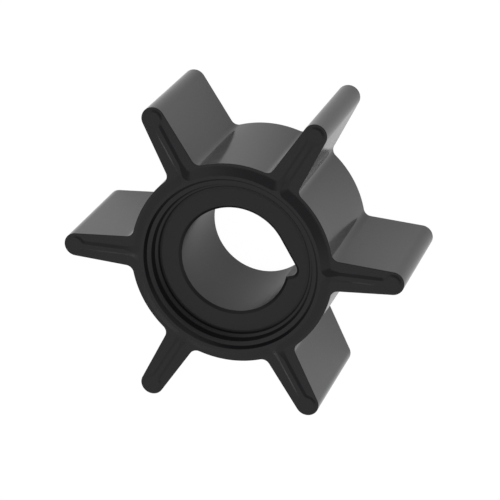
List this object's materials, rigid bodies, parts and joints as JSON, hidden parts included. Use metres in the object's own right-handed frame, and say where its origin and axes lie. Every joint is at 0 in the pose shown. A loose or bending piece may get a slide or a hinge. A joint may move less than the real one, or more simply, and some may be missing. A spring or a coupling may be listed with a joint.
{
  "type": "rubber pump impeller",
  "caption": "Flexible-vane rubber impeller for a cooling water pump, moulded on a keyed hub bush, with raised seal beads on both end faces.",
  "frame": {"origin": "on the axis of the bore, in the plane of the lower seal bead that the part lies on", "axes": "+Z along the axis towards the end face on show, +X along the vane next to the keyway"},
  "size_m": [0.04, 0.035, 0.0167],
  "materials": {
    "moulded_rubber": "smooth moulded, satin",
    "bush_plastic": "moulded, matt"
  },
  "bodies": {
    "root": {"rubber_impeller": "moulded_rubber", "hub_bush": "bush_plastic"}
  },
  "joints": []
}
